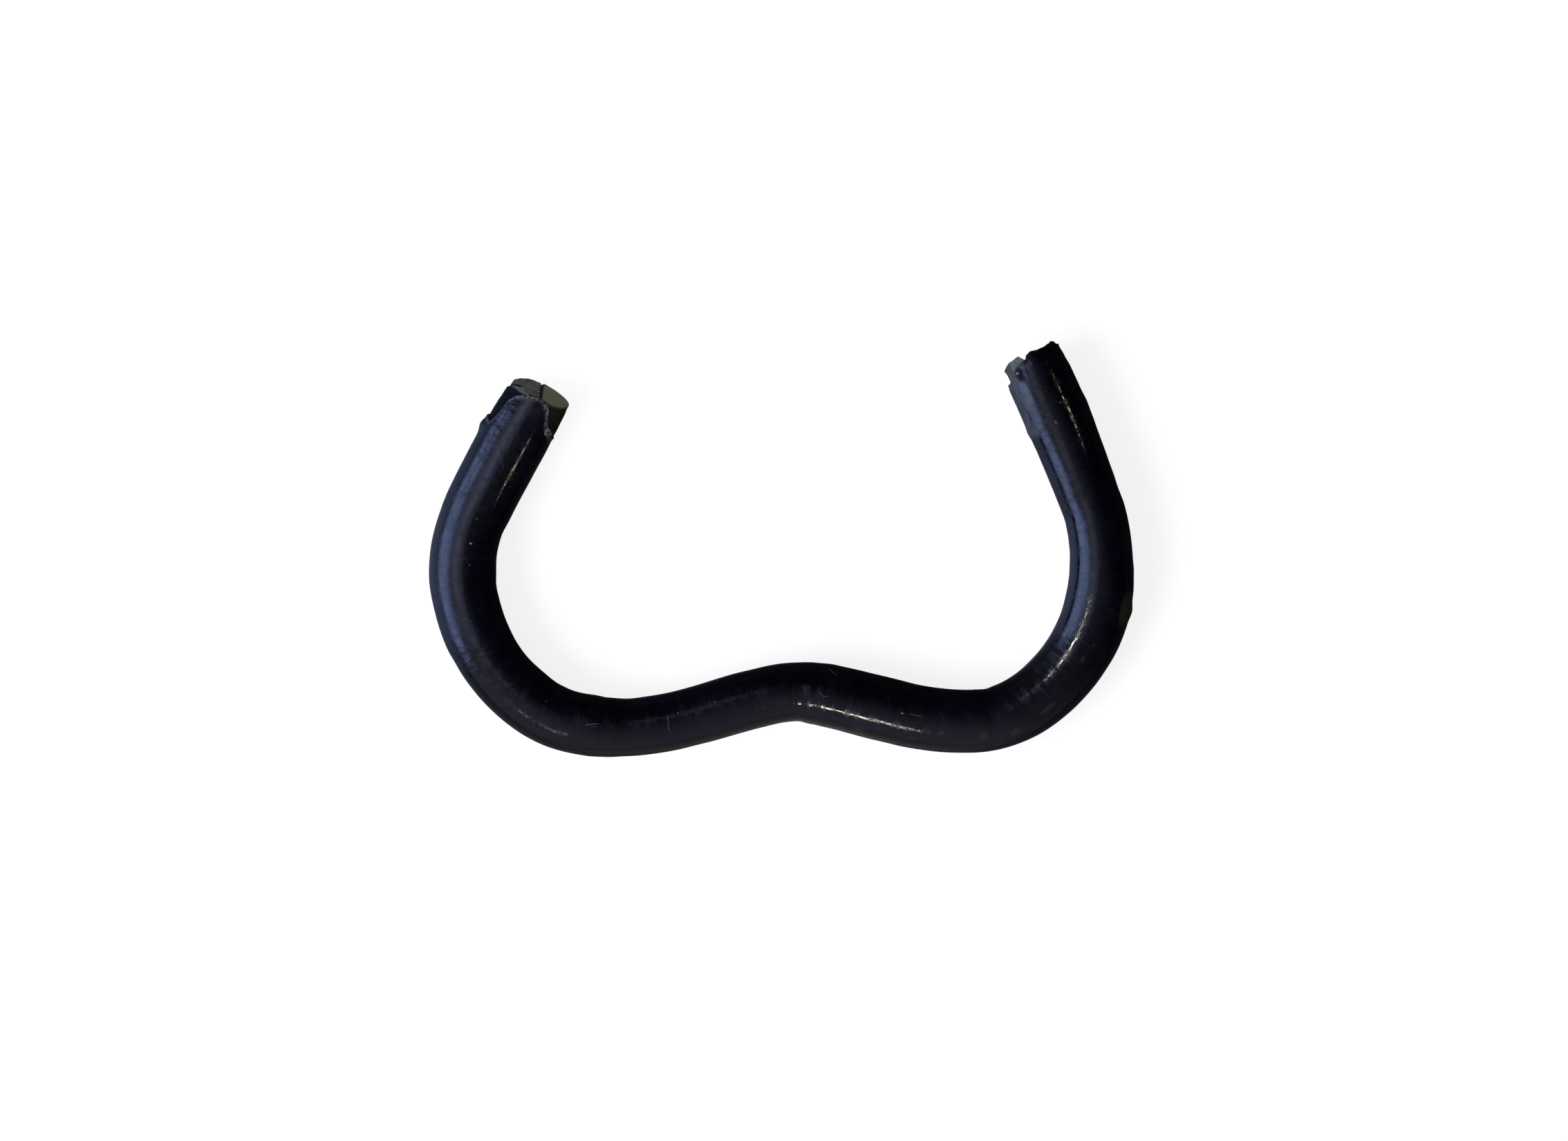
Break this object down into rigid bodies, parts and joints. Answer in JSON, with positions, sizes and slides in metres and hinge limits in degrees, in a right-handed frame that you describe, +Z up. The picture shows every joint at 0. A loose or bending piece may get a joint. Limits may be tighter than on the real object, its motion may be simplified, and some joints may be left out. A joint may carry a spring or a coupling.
{
  "type": "hog ring",
  "caption": "Open round-wire hog ring with a dipped crown and inward-leaning legs, squeezed shut round fence mesh and tension wire.",
  "frame": {"origin": "middle of the wire at the top of the crown, halfway through its thickness", "axes": "+X along the ring's width, +Y from the crown out through the mouth, +Z up as the ring lies flat"},
  "size_m": [0.0464, 0.0276, 0.0042],
  "materials": {
    "bare_steel": "sheared and unplated, dull grey",
    "vinyl_coat": "glossy black-blue vinyl with a fine orange peel"
  },
  "bodies": {
    "root": {"wire": "bare_steel", "coating": "vinyl_coat"}
  },
  "joints": []
}
